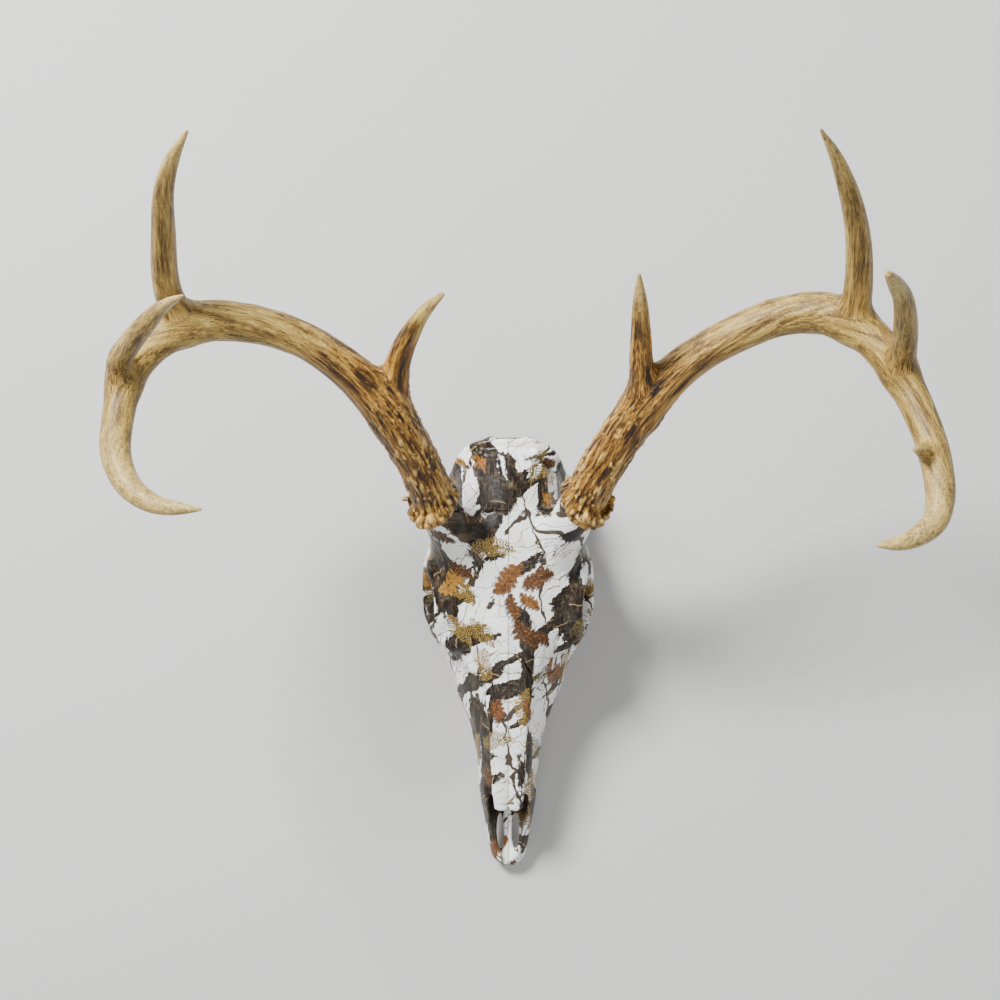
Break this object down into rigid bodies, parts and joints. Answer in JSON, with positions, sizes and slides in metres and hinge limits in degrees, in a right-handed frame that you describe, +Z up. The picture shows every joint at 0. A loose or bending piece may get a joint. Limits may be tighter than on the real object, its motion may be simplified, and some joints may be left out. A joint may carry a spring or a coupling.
{
  "type": "deer skull",
  "caption": "Life-size white-tailed buck skull with branching antlers, its bone wrapped in a glossy winter woodland print, lying on its cheek teeth and rear base.",
  "frame": {"origin": "on the floor under the middle of the bounding box", "axes": "+X to the skull's left-to-right as seen from above with the nose towards -Y, +Y towards the back of the skull and the antlers' rear, +Z up"},
  "size_m": [0.485, 0.4438, 0.3408],
  "materials": {
    "printed_bone": "bone under a glossy clear-coated print of white, grey bark and rust leaves",
    "teeth": "ivory enamel with brown stain in the folds",
    "antler_base": "rough, pearled antler stained dark brown",
    "antler": "grooved tan antler with brown grooves and polished pale tips"
  },
  "bodies": {
    "root": {"nasal_left": "printed_bone", "nasal_right": "printed_bone", "premaxilla_left": "printed_bone", "premaxilla_right": "printed_bone", "maxilla_left": "printed_bone", "maxilla_right": "printed_bone", "cheekbone_left": "printed_bone", "cheekbone_right": "printed_bone", "frontal_left": "printed_bone", "frontal_right": "printed_bone", "temporal_left": "printed_bone", "temporal_right": "printed_bone", "occipital": "printed_bone", "parietal": "printed_bone", "sphenoid": "printed_bone", "antler_left_base": "antler_base", "antler_left_lower_beam": "antler", "antler_left_outer_beam": "antler", "antler_left_beam_tip": "antler", "antler_left_brow_tine": "antler", "antler_left_second_tine": "antler", "antler_left_third_tine": "antler", "antler_right_base": "antler_base", "antler_right_lower_beam": "antler", "antler_right_outer_beam": "antler", "antler_right_beam_tip": "antler", "antler_right_brow_tine": "antler", "antler_right_second_tine": "antler", "antler_right_third_tine": "antler"}
  },
  "joints": []
}
